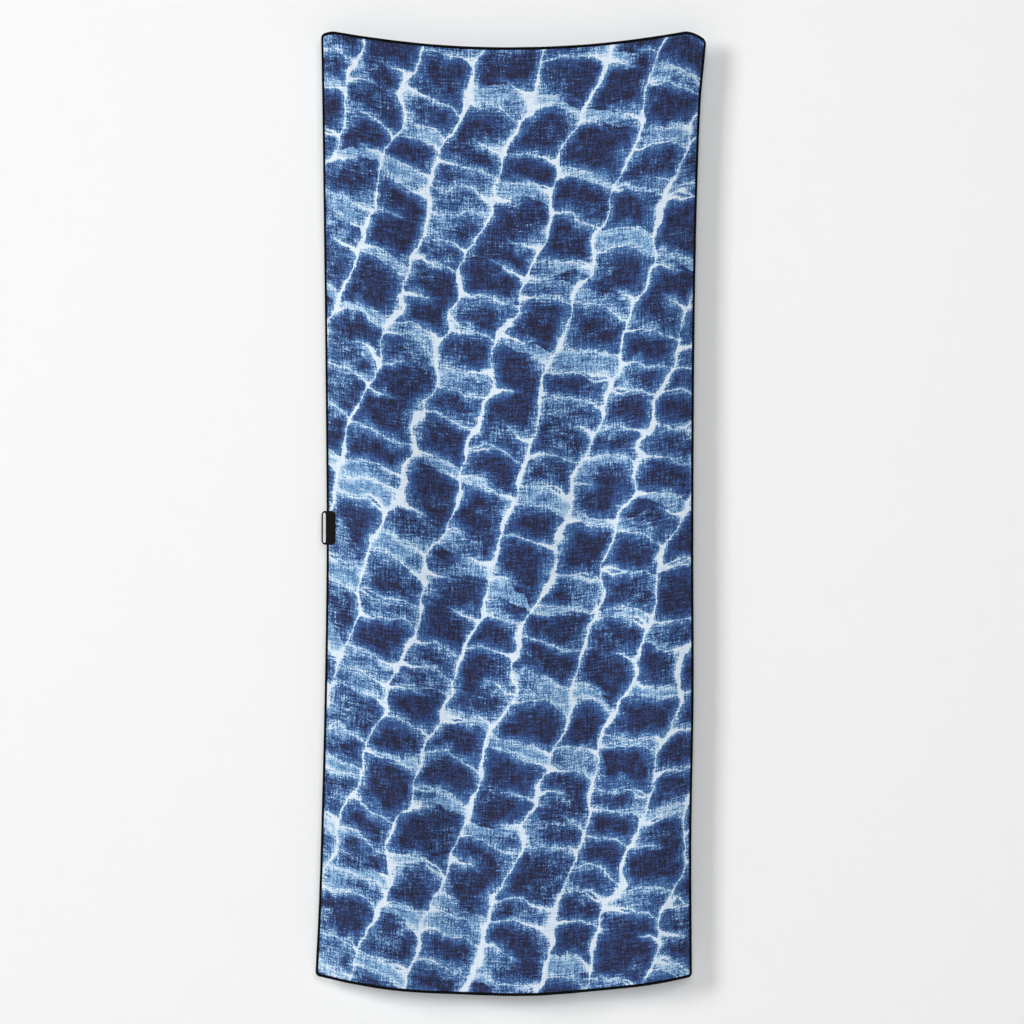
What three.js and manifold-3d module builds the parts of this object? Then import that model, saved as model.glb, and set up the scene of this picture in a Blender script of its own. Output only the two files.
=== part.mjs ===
// Travel towel: one thin printed cloth with a bound edge and a moulded rubber hanging tab.
// It hangs from two points near its top corners, so its top edge sags between them.
// Millimetres, +X to the right, +Y to the back, +Z up. The front faces -Y.
// The origin is the middle of the cloth's top edge.
import * as THREE from 'three';
import Module from 'manifold-3d';
import { mergeVertices } from 'three/addons/utils/BufferGeometryUtils.js';

const wasm = await Module();
wasm.setup();

// The cloth as it is cut. A place on it is (across, down): from its left edge and from its top edge.
const CLOTH = { width: 760, length: 1840, thickness: 1.0, cornerRadius: 6 };

// The two held points, the sag between them, and the bow of the bottom edge.
const HANG = { leftPoint: 28, rightPoint: 714, sag: 30.6, footBow: 35, hungLength: 1836 };

// The corners outside the held points droop, and the droop fades out down the sides.
const CORNER_DROOP = { left: 9, right: 24, power: 1.5, fade: 220 };

// Where the side edges hang, seen from the front: distances to the left and right of the middle.
const SIDES = [
  { down: 0, left: 369.5, right: 376.0 },
  { down: 60, left: 368.3, right: 370.5 },
  { down: 130, left: 367.3, right: 365.3 },
  { down: 330, left: 365.2, right: 357.9 },
  { down: 600, left: 362.6, right: 353.0 },
  { down: 1000, left: 359.8, right: 350.8 },
  { down: 1300, left: 363.6, right: 351.4 },
  { down: 1550, left: 369.8, right: 347.3 },
  { down: 1700, left: 374.5, right: 347.3 },
  { down: 1840, left: 381.3, right: 348.3 },
];

// Long soft folds that run down the cloth. Each rises to the front (or sinks, below zero) by the
// stated heights at the top, the middle and the foot, and has a bell-shaped section.
const FOLDS = [
  { name: 'left crest', atTop: 120, atFoot: 180, reach: 60, top: 3, middle: 17, foot: 12 },
  { name: 'left valley', atTop: 250, atFoot: 300, reach: 64, top: -2, middle: -12, foot: -9 },
  { name: 'middle crest', atTop: 400, atFoot: 440, reach: 68, top: 0, middle: 13, foot: 11 },
  { name: 'right valley', atTop: 540, atFoot: 560, reach: 60, top: -2, middle: -12, foot: -8 },
  { name: 'right crest', atTop: 650, atFoot: 665, reach: 46, top: 2, middle: 9, foot: 6 },
];

// The side edges turn to the back: the slope at the edge, and how far in the turn reaches.
// The reach grows from its top to its foot amount over the first stretch down.
const TURN_GROWS_OVER = 736;
const TURNED_EDGES = [
  { side: 'left', topSlope: 0.5, middleSlope: 0.42, footSlope: 0.34, topReach: 60, footReach: 190 },
  { side: 'right', topSlope: 0.35, middleSlope: 0.22, footSlope: 0.28, topReach: 80, footReach: 120 },
];

// The bound edge folds over the cloth's edge with a small clearance all round.
const BINDING = { clearance: 0.3, wall: 0.6, onCloth: 3.0 };

// The hanging tab. Its plate lies over the bound edge, a foot behind it is fixed to the cloth, and a
// slot outside the edge takes a hook. Distances in from the cloth's edge are below zero outside it.
const TAB = {
  down: 966,
  height: 66,
  outerEdge: -11.4,
  innerEdge: 19.6,
  cornerRadius: 8.5,
  thickness: 1.8,
  clearance: 0.3,
  slotOuter: -8.4,
  slotInner: -1.5,
  slotHeight: 58.6,
  footFrom: 3.6,
  footTo: 17.6,
  footHeight: 52,
  fieldFrom: 1.2,
  fieldTo: 17.2,
  fieldHeight: 51.6,
  fieldDepth: 0.4,
  arcSteps: 4,
};

// A cutting shape runs this far past a face, and a joined one this far into the plate.
const CUT_PAST = 1;
const JOIN_DEPTH = 0.5;

// Steps of the cloth's grid: finer down the first stretch, where the corners droop.
const GRID = { across: 26, shortDown: 34, longDown: 72, shortUntil: 216 };

// Steps along a level thread when its length is added up, and the reach over which slopes are read.
const THREAD_STEPS = 190;
const SLOPE_REACH = 2;

const smooth = (t) => {
  const c = Math.min(Math.max(t, 0), 1);
  return c * c * (3 - 2 * c);
};
const mix = (a, b, t) => a + (b - a) * t;

// A value that eases from its top to its middle and on to its foot amount down the cloth.
function alongDown(top, middle, foot, down) {
  const share = down / CLOTH.length;
  return share < 0.5
    ? mix(top, middle, smooth(share / 0.5))
    : mix(middle, foot, smooth((share - 0.5) / 0.5));
}

// A column of the SIDES table at any place down, as a smooth curve through its rows.
function sideAt(column, down) {
  const last = SIDES.length - 1;
  const at = Math.min(Math.max(down, 0), CLOTH.length);
  let i = 0;
  while (i < last - 1 && at > SIDES[i + 1].down) i += 1;
  const slope = (k) => {
    const a = SIDES[Math.max(k - 1, 0)];
    const b = SIDES[Math.min(k + 1, last)];
    return (b[column] - a[column]) / (b.down - a.down);
  };
  const span = SIDES[i + 1].down - SIDES[i].down;
  const t = (at - SIDES[i].down) / span;
  const h = smooth(t);
  const start = t * (1 - t) * (1 - t) * span * slope(i);
  const end = t * t * (t - 1) * span * slope(i + 1);
  return mix(SIDES[i][column], SIDES[i + 1][column], h) + start + end;
}

// How far back the cloth lies at a place: folds that rise to the front count below zero.
function depthAt(across, down) {
  let depth = 0;
  for (const fold of FOLDS) {
    const centre = mix(fold.atTop, fold.atFoot, smooth(down / CLOTH.length));
    const height = alongDown(fold.top, fold.middle, fold.foot, down);
    depth -= height * Math.exp(-0.5 * ((across - centre) / fold.reach) ** 2);
  }
  for (const edge of TURNED_EDGES) {
    const slope = alongDown(edge.topSlope, edge.middleSlope, edge.footSlope, down);
    const reach = mix(edge.topReach, edge.footReach, smooth(down / TURN_GROWS_OVER));
    const fromEdge = edge.side === 'left' ? across : CLOTH.width - across;
    const q = Math.min(fromEdge / reach, 1);
    depth += slope * reach * (0.5 - q + q ** 3 - q ** 4 / 2);
  }
  return depth;
}

// Height of a place: the sag between the held points eases into the bow of the bottom edge.
function heightAt(across, down) {
  const between = (across - HANG.leftPoint) / (HANG.rightPoint - HANG.leftPoint);
  const sag = HANG.sag * (2 * between - 1) ** 2;
  const bow = HANG.footBow * ((2 * across) / CLOTH.width - 1) ** 2;
  const outLeft = Math.max(HANG.leftPoint - across, 0) / HANG.leftPoint;
  const outRight = Math.max(across - HANG.rightPoint, 0) / (CLOTH.width - HANG.rightPoint);
  const { left, right, power } = CORNER_DROOP;
  const droop = left * outLeft ** power + right * outRight ** power;
  const fade = 1 - smooth(down / CORNER_DROOP.fade);
  const fall = (down * HANG.hungLength) / CLOTH.length;
  return mix(sag, bow, down / CLOTH.length) - droop * fade - fall;
}

// One level thread of the cloth: what its folds and sag leave of its length, from the left edge on.
const threads = new Map();
function threadAt(down) {
  if (!threads.has(down)) {
    const step = CLOTH.width / THREAD_STEPS;
    const seen = [0];
    for (let i = 0; i < THREAD_STEPS; i += 1) {
      const back = depthAt((i + 1) * step, down) - depthAt(i * step, down);
      const up = heightAt((i + 1) * step, down) - heightAt(i * step, down);
      seen.push(seen[i] + Math.sqrt(step * step - back * back - up * up));
    }
    threads.set(down, seen);
  }
  return threads.get(down);
}

// The middle of the cloth's thickness at a place on it.
function clothPoint(across, down) {
  const seen = threadAt(down);
  const step = CLOTH.width / THREAD_STEPS;
  const cell = Math.min(Math.floor(across / step), THREAD_STEPS - 1);
  const share = mix(seen[cell], seen[cell + 1], across / step - cell) / seen[THREAD_STEPS];
  const x = mix(-sideAt('left', down), sideAt('right', down), share);
  return new THREE.Vector3(x, depthAt(across, down), heightAt(across, down));
}

// Directions at a place: right and up along the cloth, and out of its front.
function clothFrame(across, down) {
  const left = Math.max(across - SLOPE_REACH, 0);
  const right = Math.min(across + SLOPE_REACH, CLOTH.width);
  const above = Math.max(down - SLOPE_REACH, 0);
  const below = Math.min(down + SLOPE_REACH, CLOTH.length);
  const rightward = clothPoint(right, down).sub(clothPoint(left, down)).normalize();
  const upward = clothPoint(across, above).sub(clothPoint(across, below)).normalize();
  const front = rightward.clone().cross(upward).normalize();
  return { rightward, upward, front };
}

// Grid lines from one edge to the other: close together in the rounded corners, and even between.
function gridLines(length, middle) {
  const corner = [0, BINDING.onCloth];
  return [...corner, ...middle, ...corner.map((c) => length - c).reverse()];
}

function evenSteps(from, to, step) {
  const count = Math.round((to - from) / step);
  return Array.from({ length: count }, (_, i) => from + ((to - from) * i) / count);
}

const CORNER = CLOTH.cornerRadius;
const ACROSS = gridLines(CLOTH.width, [
  ...evenSteps(CORNER, CLOTH.width - CORNER, GRID.across),
  CLOTH.width - CORNER,
]);
const DOWN = gridLines(CLOTH.length, [
  ...evenSteps(CORNER, GRID.shortUntil, GRID.shortDown),
  ...evenSteps(GRID.shortUntil, CLOTH.length - CORNER, GRID.longDown),
  CLOTH.length - CORNER,
]);

// Rounds the corners: the square at each corner is drawn in to a quarter circle about its inner point.
function rounded(across, down) {
  const cx = Math.min(Math.max(across, CORNER), CLOTH.width - CORNER);
  const cy = Math.min(Math.max(down, CORNER), CLOTH.length - CORNER);
  const dx = across - cx;
  const dy = down - cy;
  const long = Math.max(Math.abs(dx), Math.abs(dy));
  const draw = dx && dy ? long / Math.hypot(dx, dy) : 1;
  return { across: cx + dx * draw, down: cy + dy * draw };
}

function meshFrom(name, points, triangles, material) {
  const geometry = new THREE.BufferGeometry();
  geometry.setAttribute('position', new THREE.Float32BufferAttribute(points.flatMap((p) => p.toArray()), 3));
  geometry.setIndex(triangles.flat());
  const mesh = new THREE.Mesh(geometry, material);
  mesh.name = name;
  return mesh;
}

// Printed cloth: a front and a back grid, half the thickness to each side, joined round the edge.
function towelCloth() {
  const points = [];
  for (const side of [0.5, -0.5]) {
    for (const row of DOWN) {
      for (const column of ACROSS) {
        const { across, down } = rounded(column, row);
        const { front } = clothFrame(across, down);
        points.push(clothPoint(across, down).addScaledVector(front, side * CLOTH.thickness));
      }
    }
  }
  const columns = ACROSS.length;
  const sheet = columns * DOWN.length;
  const triangles = [];
  for (let r = 0; r + 1 < DOWN.length; r += 1) {
    for (let c = 0; c + 1 < columns; c += 1) {
      const a = r * columns + c;
      const b = a + 1;
      const d = a + columns;
      const e = d + 1;
      triangles.push([a, d, e], [a, e, b]);
      triangles.push([sheet + a, sheet + e, sheet + d], [sheet + a, sheet + b, sheet + e]);
    }
  }
  const rim = rimIndices(columns, DOWN.length);
  rim.forEach((i, k) => {
    const j = rim[(k + 1) % rim.length];
    triangles.push([i, sheet + i, sheet + j], [i, sheet + j, j]);
  });
  const material = new THREE.MeshStandardMaterial({ color: 0x5a79ad, roughness: 0.95, metalness: 0 });
  return meshFrom('towel_cloth', points, triangles, material);
}

// Grid positions round the rim, anticlockwise as seen from the front: down the left side first.
function rimIndices(columns, rows) {
  const rim = [];
  for (let r = 0; r < rows - 1; r += 1) rim.push(r * columns);
  for (let c = 0; c < columns - 1; c += 1) rim.push((rows - 1) * columns + c);
  for (let r = rows - 1; r > 0; r -= 1) rim.push(r * columns + columns - 1);
  for (let c = columns - 1; c > 0; c -= 1) rim.push(c);
  return rim;
}

// The way in from the rim, on the flat cloth: square to a side, or towards a corner's centre.
function wayIn(across, down) {
  const cx = Math.min(Math.max(across, CORNER), CLOTH.width - CORNER);
  const cy = Math.min(Math.max(down, CORNER), CLOTH.length - CORNER);
  const length = Math.hypot(cx - across, cy - down);
  return { across: (cx - across) / length, down: (cy - down) / length };
}

// Bound edge: a U-shaped section, open towards the cloth, carried once round the rim.
function edgeBinding() {
  const { clearance, wall, onCloth } = BINDING;
  const inner = CLOTH.thickness / 2 + clearance;
  const outer = inner + wall;
  const section = [
    [onCloth, inner],
    [onCloth, outer],
    [-clearance - wall, outer],
    [-clearance - wall, -outer],
    [onCloth, -outer],
    [onCloth, -inner],
    [-clearance, -inner],
    [-clearance, inner],
  ];
  const points = [];
  const columns = ACROSS.length;
  const rim = rimIndices(columns, DOWN.length);
  for (const i of rim) {
    const { across, down } = rounded(ACROSS[i % columns], DOWN[Math.floor(i / columns)]);
    const way = wayIn(across, down);
    const { front } = clothFrame(across, down);
    const edge = clothPoint(across, down);
    const inside = clothPoint(across + onCloth * way.across, down + onCloth * way.down);
    const inward = inside.sub(edge).divideScalar(onCloth);
    for (const [along, out] of section) {
      points.push(edge.clone().addScaledVector(inward, along).addScaledVector(front, out));
    }
  }
  const triangles = [];
  const corners = section.length;
  for (let k = 0; k < rim.length; k += 1) {
    for (let s = 0; s < corners; s += 1) {
      const a = k * corners + s;
      const b = k * corners + ((s + 1) % corners);
      const c = ((k + 1) % rim.length) * corners + ((s + 1) % corners);
      const d = ((k + 1) % rim.length) * corners + s;
      triangles.push([a, b, c], [a, c, d]);
    }
  }
  const material = new THREE.MeshStandardMaterial({ color: 0x17171c, roughness: 0.85, metalness: 0 });
  return meshFrom('edge_binding', points, triangles, material);
}

// A flat outline with rounded corners, along the towel's edge, between two distances in from it. Its
// ends are half-round unless a smaller radius is given.
function roundedOutline(from, to, height, radius = (to - from) / 2) {
  const straight = height / 2 - radius;
  const outline = new THREE.Shape();
  outline.moveTo(to, -straight);
  outline.lineTo(to, straight);
  outline.absarc(to - radius, straight, radius, 0, Math.PI / 2, false);
  outline.absarc(from + radius, straight, radius, Math.PI / 2, Math.PI, false);
  outline.lineTo(from, -straight);
  outline.absarc(from + radius, -straight, radius, Math.PI, 1.5 * Math.PI, false);
  outline.absarc(to - radius, -straight, radius, 1.5 * Math.PI, 2 * Math.PI, false);
  return outline;
}

// A prism on a flat outline, from one level to another, ready for cutting and joining.
function prism(outline, from, to) {
  const geometry = new THREE.ExtrudeGeometry(outline, {
    depth: to - from,
    bevelEnabled: false,
    curveSegments: TAB.arcSteps,
  });
  geometry.translate(0, 0, from);
  geometry.deleteAttribute('normal');
  geometry.deleteAttribute('uv');
  const merged = mergeVertices(geometry, 1e-4);
  return new wasm.Manifold(
    new wasm.Mesh({
      numProp: 3,
      vertProperties: new Float32Array(merged.attributes.position.array),
      triVerts: new Uint32Array(merged.index.array),
    }),
  );
}

// Hanging tab, moulded in one: a plate with a hook slot, a sunk bare field and a foot behind it.
function hangTab() {
  const bindingFace = CLOTH.thickness / 2 + BINDING.clearance + BINDING.wall;
  const back = bindingFace + TAB.clearance;
  const face = back + TAB.thickness;
  const footBack = CLOTH.thickness / 2 + TAB.clearance;
  const plate = prism(roundedOutline(TAB.outerEdge, TAB.innerEdge, TAB.height, TAB.cornerRadius), back, face);
  const slotOutline = roundedOutline(TAB.slotOuter, TAB.slotInner, TAB.slotHeight);
  const slot = prism(slotOutline, back - CUT_PAST, face + CUT_PAST);
  const foot = prism(roundedOutline(TAB.footFrom, TAB.footTo, TAB.footHeight), footBack, back + JOIN_DEPTH);
  const fieldOutline = roundedOutline(TAB.fieldFrom, TAB.fieldTo, TAB.fieldHeight);
  const field = prism(fieldOutline, face - TAB.fieldDepth, face + CUT_PAST);
  const solid = plate.subtract(slot).subtract(field).add(foot);
  const { vertProperties, triVerts } = solid.getMesh();
  const geometry = new THREE.BufferGeometry();
  geometry.setAttribute('position', new THREE.BufferAttribute(new Float32Array(vertProperties), 3));
  geometry.setIndex(new THREE.BufferAttribute(new Uint32Array(triVerts), 1));
  const material = new THREE.MeshStandardMaterial({ color: 0x121214, roughness: 0.6, metalness: 0 });
  const tab = new THREE.Mesh(geometry, material);
  tab.name = 'hang_tab';
  const seat = (TAB.footFrom + TAB.footTo) / 2;
  const { upward, front } = clothFrame(seat, TAB.down);
  const rightward = upward.clone().cross(front);
  tab.setRotationFromMatrix(new THREE.Matrix4().makeBasis(rightward, upward, front));
  tab.position.copy(clothPoint(seat, TAB.down)).addScaledVector(rightward, -seat);
  return tab;
}

const towel = new THREE.Group();
towel.name = 'travel_towel';
towel.add(towelCloth(), edgeBinding(), hangTab());

export default towel;
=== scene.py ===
"""Travel towel, hung from two points near its top corners: a thin printed cloth, an overlocked
edge and a moulded hanging tab. Sizes in the tables are millimetres and are put into the meshes as
metres."""

import bpy
import numpy as np
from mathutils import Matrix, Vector


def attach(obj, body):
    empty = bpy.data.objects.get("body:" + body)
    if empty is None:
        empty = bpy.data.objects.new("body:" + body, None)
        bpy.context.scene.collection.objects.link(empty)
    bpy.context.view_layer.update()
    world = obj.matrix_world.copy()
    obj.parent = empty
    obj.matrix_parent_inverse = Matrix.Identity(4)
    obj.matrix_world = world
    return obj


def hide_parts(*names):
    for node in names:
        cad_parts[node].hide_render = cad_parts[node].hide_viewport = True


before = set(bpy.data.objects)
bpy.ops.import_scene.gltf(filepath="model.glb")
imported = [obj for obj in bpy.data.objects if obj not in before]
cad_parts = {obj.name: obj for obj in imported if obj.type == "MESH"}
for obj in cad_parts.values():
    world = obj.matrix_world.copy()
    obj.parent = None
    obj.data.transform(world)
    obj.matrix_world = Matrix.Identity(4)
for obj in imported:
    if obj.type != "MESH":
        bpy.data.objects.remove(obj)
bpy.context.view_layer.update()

MM = 0.001
TURN = 2 * np.pi

# The cloth as it is cut. A place on it is (across, down): from its left edge and from its top
# edge.
WIDTH = 760.0
LENGTH = 1840.0
THICKNESS = 1.0
CORNER = 6.0

# The two held points, the sag between them, the bow of the bottom edge and the drooping corners.
LEFT_POINT = 28.0
RIGHT_POINT = 714.0
SAG = 30.6
FOOT_BOW = 35.0
HUNG_LENGTH = 1836.0
DROOP_LEFT = 9.0
DROOP_RIGHT = 24.0
DROOP_POWER = 1.5
DROOP_FADE = 220.0

# Where the side edges hang: down, left of the middle, right of the middle.
SIDES = np.array(
    [
        (0, 369.5, 376.0),
        (60, 368.3, 370.5),
        (130, 367.3, 365.3),
        (330, 365.2, 357.9),
        (600, 362.6, 353.0),
        (1000, 359.8, 350.8),
        (1300, 363.6, 351.4),
        (1550, 369.8, 347.3),
        (1700, 374.5, 347.3),
        (1840, 381.3, 348.3),
    ]
)

# Long soft folds: place at the top and at the foot, reach, and rise at the top, middle and foot.
FOLDS = (
    (120, 180, 60, 3, 17, 12),
    (250, 300, 64, -2, -12, -9),
    (400, 440, 68, 0, 13, 11),
    (540, 560, 60, -2, -12, -8),
    (650, 665, 46, 2, 9, 6),
)

# The turned side edges: slope at the top, middle and foot, and reach at the top and further down.
TURN_GROWS_OVER = 736.0
TURNED_LEFT = (0.5, 0.42, 0.34, 60, 190)
TURNED_RIGHT = (0.35, 0.22, 0.28, 80, 120)

# Soft pulls in the cloth: start and end as (across, down), reach to each side, and rise. Each one
# is strongest at one share of its length and dies away over another.
PULL_MIDDLE = 0.45
PULL_SPREAD = 0.26
PULLS = (
    ((30, 6), (150, 420), 15, 2.2),
    ((34, 8), (260, 300), 13, -1.5),
    ((712, 6), (640, 460), 15, 2.0),
    ((706, 8), (520, 280), 13, -1.4),
    ((330, 700), (250, 1180), 22, 1.6),
    ((500, 620), (590, 1120), 24, -1.5),
    ((120, 1240), (215, 1790), 20, 1.5),
    ((470, 1330), (420, 1830), 22, -1.4),
)

# The sewn edge ripples a little: rise, reach in from the edge, length of one ripple, and the
# lengths over which it wanders and swells. It is calm round the tab.
RIPPLE = {"rise": 0.8, "reach": 20.0, "length": 74.0, "wander": 610.0, "swell": 430.0}
CALM_DOWN = 60.0
CALM_ACROSS = 30.0

# The overlocked edge: its section reaches from outside the edge to the needle line, stands off the
# middle of the cloth and is squarer at a lower power. Turns of thread lean, a pitch apart.
EDGE = {"outside": -1.6, "needle": 4.1, "stand": 1.05, "pitch": 2.6, "lean": 1.3, "power": 0.6}

# A dense core lies a little under the thread, which is a small oval of these half sizes.
CORE_UNDER = 0.18
CORE_STEPS = 1040
CORE_SIDES = 12
THREAD_HIGH = 0.34
THREAD_WIDE = 0.95
THREAD_STEPS = 10
THREAD_SIDES = 4

# The hanging tab, its middle at TAB_DOWN. An outline starts and ends this far in from the cloth's
# edge and has this height. Its ends are half round, or its corners have the radius that follows.
TAB_DOWN = 966.0
TAB_OUTER = (-11.4, 19.6, 66.0, 8.5)
TAB_SLOT = (-8.4, -1.5, 58.6)
TAB_FOOT = (3.6, 17.6, 52.0)
TAB_FIELD = (1.2, 17.2, 51.6)

# Heights off the middle of the cloth, the depth of the sunk field and the way over which it falls,
# how far the foot goes up into the plate, and the roundings of the rims.
TAB_FOOT_BACK = 0.8
TAB_BACK = 1.7
TAB_FACE = 3.5
FIELD_DEPTH = 0.4
FIELD_FALL = 0.7
FOOT_OVERLAP = 0.3
PLATE_RIM = 0.55
FOOT_RIM = 0.4

# The bead round the field, and the stitches outside it.
BEAD = {"off": 0.15, "wide": 0.75, "under": 0.18, "high": 0.46}
STITCH = {"off": 1.45, "apart": 2.9, "long": 1.05, "wide": 0.30, "high": 0.24, "dip": 0.10}
STITCH_LIFT = 0.02

# Grid lines of the tab: steps round each outline, and lines over the plate and over a rim.
STEPS_ROUND = {"plate": 416, "bead": 208, "foot": 128, "stitches": 4000}
PLATE_FRONT_LINES = 40
PLATE_BACK_LINES = 6
PLATE_RIM_LINES = 6
FOOT_RIM_LINES = 5
BEAD_SIDES = 12
STITCH_LINES = 7
STITCH_SIDES = 6

# Steps of the cloth's grid across and down, and lines in each of its rounded corners.
GRID_STEPS = (6.0, 6.2)
CORNER_LINES = 4

# Steps along a level thread of the cloth and rows of such threads, for adding up lengths, and the
# reaches over which slopes are taken.
WEFT_STEPS = 190
WEFT_ROWS = 461
SLOPE_REACH = 2.0
RIM_REACH = 3.0

# Less of a direction than this counts as none.
TINY = 1e-6

# Places of the cloth's two sides in the bake map: start and span, and how far the rim steps out.
BAKE_ACROSS = (0.015, 0.47)
BAKE_DOWN = (0.985, 0.97)
BAKE_RIM = 0.004


def smooth(t):
    """Three times the square less twice the cube of t, kept between nought and one."""
    c = np.clip(t, 0.0, 1.0)
    return c * c * (3 - 2 * c)


def mix(a, b, t):
    """a where t is nought, b where t is one, and a straight line between."""
    return a + (b - a) * t


def bell(t):
    """Bell curve: e to minus half the square of t."""
    return np.exp(-0.5 * t * t)


def along_down(top, middle, foot, down):
    """Eases from top to middle over the upper half of the cloth, and on to foot over the lower."""
    share = down / LENGTH
    upper = mix(top, middle, smooth(share * 2))
    lower = mix(middle, foot, smooth(share * 2 - 1))
    return np.where(share < 0.5, upper, lower)


def side_at(column, down):
    """Smooth curve through the rows of SIDES: a cubic between rows, its slopes from the rows
    around."""
    at = np.clip(down, 0.0, LENGTH)
    rows = SIDES[:, 0]
    values = SIDES[:, column]
    last = len(rows) - 1
    i = np.clip(np.searchsorted(rows, at, side="left") - 1, 0, last - 1)
    before = np.maximum(np.arange(last + 1) - 1, 0)
    after = np.minimum(np.arange(last + 1) + 1, last)
    slopes = (values[after] - values[before]) / (rows[after] - rows[before])
    span = rows[i + 1] - rows[i]
    t = (at - rows[i]) / span
    ends = t * (1 - t) ** 2 * span * slopes[i] + t * t * (t - 1) * span * slopes[i + 1]
    return mix(values[i], values[i + 1], smooth(t)) + ends


def turned(edge, from_edge, down):
    """How far a turned side edge lies back: steepest at the edge, level and flat from its reach
    on."""
    top, middle, foot, top_reach, foot_reach = edge
    slope = along_down(top, middle, foot, down)
    reach = mix(top_reach, foot_reach, smooth(down / TURN_GROWS_OVER))
    q = np.minimum(from_edge / reach, 1.0)
    return slope * reach * (0.5 - q + q**3 - q**4 / 2)


def depth_at(across, down):
    """How far back the cloth lies: less a bell curve for each fold, plus the two turned edges."""
    depth = turned(TURNED_LEFT, across, down) + turned(TURNED_RIGHT, WIDTH - across, down)
    for at_top, at_foot, reach, top, middle, foot in FOLDS:
        centre = mix(at_top, at_foot, smooth(down / LENGTH))
        depth = depth - along_down(top, middle, foot, down) * bell((across - centre) / reach)
    return depth


def height_at(across, down):
    """Sag between the held points, easing into the foot's bow, less the corner droop and the
    fall."""
    between = (across - LEFT_POINT) / (RIGHT_POINT - LEFT_POINT)
    sag = SAG * (2 * between - 1) ** 2
    bow = FOOT_BOW * (2 * across / WIDTH - 1) ** 2
    out_left = np.maximum(LEFT_POINT - across, 0) / LEFT_POINT
    out_right = np.maximum(across - RIGHT_POINT, 0) / (WIDTH - RIGHT_POINT)
    droop = DROOP_LEFT * out_left**DROOP_POWER + DROOP_RIGHT * out_right**DROOP_POWER
    fade = 1 - smooth(down / DROOP_FADE)
    return mix(sag, bow, down / LENGTH) - droop * fade - down * HUNG_LENGTH / LENGTH


def thread_shares():
    """For level threads down the cloth, the share of the seen width that each step across has
    reached: the running sum of what depth and height leave of every step's length, over its
    total."""
    across = np.linspace(0, WIDTH, WEFT_STEPS + 1)[None, :]
    down = np.linspace(0, LENGTH, WEFT_ROWS)[:, None]
    back = np.diff(depth_at(across, down), axis=1)
    up = np.diff(height_at(across, down), axis=1)
    seen = np.sqrt((WIDTH / WEFT_STEPS) ** 2 - back**2 - up**2)
    total = np.cumsum(seen, axis=1)
    return np.hstack([np.zeros((WEFT_ROWS, 1)), total]) / total[:, -1:]


SHARES = thread_shares()


def share_at(across, down):
    """Looks a place up in SHARES, straight between its four nearest entries."""
    a = np.clip(across / WIDTH, 0, 1) * WEFT_STEPS
    d = np.clip(down / LENGTH, 0, 1) * (WEFT_ROWS - 1)
    i = np.minimum(a.astype(int), WEFT_STEPS - 1)
    j = np.minimum(d.astype(int), WEFT_ROWS - 2)
    upper = mix(SHARES[j, i], SHARES[j, i + 1], a - i)
    lower = mix(SHARES[j + 1, i], SHARES[j + 1, i + 1], a - i)
    return mix(upper, lower, d - j)


def small_relief(across, down):
    """Low forms that the solid leaves out, as a rise to the front: a rounded ridge or trough along
    each row of PULLS, strongest near its middle, and a sine ripple that dies away in from the sewn
    edge."""
    rise = np.zeros(np.broadcast(across, down).shape)
    for start, end, reach, height in PULLS:
        run = np.subtract(end, start).astype(float)
        length = np.hypot(*run)
        along = ((across - start[0]) * run[0] + (down - start[1]) * run[1]) / length**2
        off = ((across - start[0]) * run[1] - (down - start[1]) * run[0]) / length
        rise = rise + height * bell(off / reach) * bell((along - PULL_MIDDLE) / PULL_SPREAD)
    for from_edge, place, phase in (
        (across, down, 0.4),
        (WIDTH - across, down, 2.1),
        (LENGTH - down, across, 1.3),
        (down, across, 5.0),
    ):
        wander = 1.1 * np.sin(place * TURN / RIPPLE["wander"] + phase)
        swell = 0.7 + 0.3 * np.cos(place * TURN / RIPPLE["swell"])
        wave = np.sin(place * TURN / RIPPLE["length"] + phase + wander) * swell
        rise = rise + RIPPLE["rise"] * wave * np.exp(-from_edge / RIPPLE["reach"])
    calm = bell((down - TAB_DOWN) / CALM_DOWN) * bell(across / CALM_ACROSS)
    return rise * (1 - calm)


def cloth_point(across, down):
    """Middle of the cloth's thickness: x from the share of the seen width, y from the folds and
    the small relief, z from the sag, the bow and the fall."""
    x = mix(-side_at(1, down), side_at(2, down), share_at(across, down))
    y = depth_at(across, down) - small_relief(across, down)
    z = height_at(across, down) + np.zeros_like(x)
    return np.stack([x, y + np.zeros_like(x), z], axis=-1)


def unit(vectors):
    """Vectors at length one."""
    return vectors / np.linalg.norm(vectors, axis=-1, keepdims=True)


def cloth_frame(across, down):
    """Directions at a place, from points a little to each side: right and up along the cloth, and
    the cross product of the two, out of its front."""
    left = np.maximum(across - SLOPE_REACH, 0)
    right = np.minimum(across + SLOPE_REACH, WIDTH)
    above = np.maximum(down - SLOPE_REACH, 0)
    below = np.minimum(down + SLOPE_REACH, LENGTH)
    rightward = unit(cloth_point(right, down) - cloth_point(left, down))
    upward = unit(cloth_point(across, above) - cloth_point(across, below))
    return rightward, upward, unit(np.cross(rightward, upward))


def rounded(across, down):
    """Draws the square at each corner in to a quarter circle about its inner point: the offset
    from that point keeps its direction and takes the length of its longer part."""
    cx = np.clip(across, CORNER, WIDTH - CORNER)
    cy = np.clip(down, CORNER, LENGTH - CORNER)
    dx = across - cx
    dy = down - cy
    longer = np.maximum(abs(dx), abs(dy))
    length = np.hypot(dx, dy)
    draw = np.where(length > 0, longer / np.where(length > 0, length, 1), 1)
    return cx + dx * draw, cy + dy * draw


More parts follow.
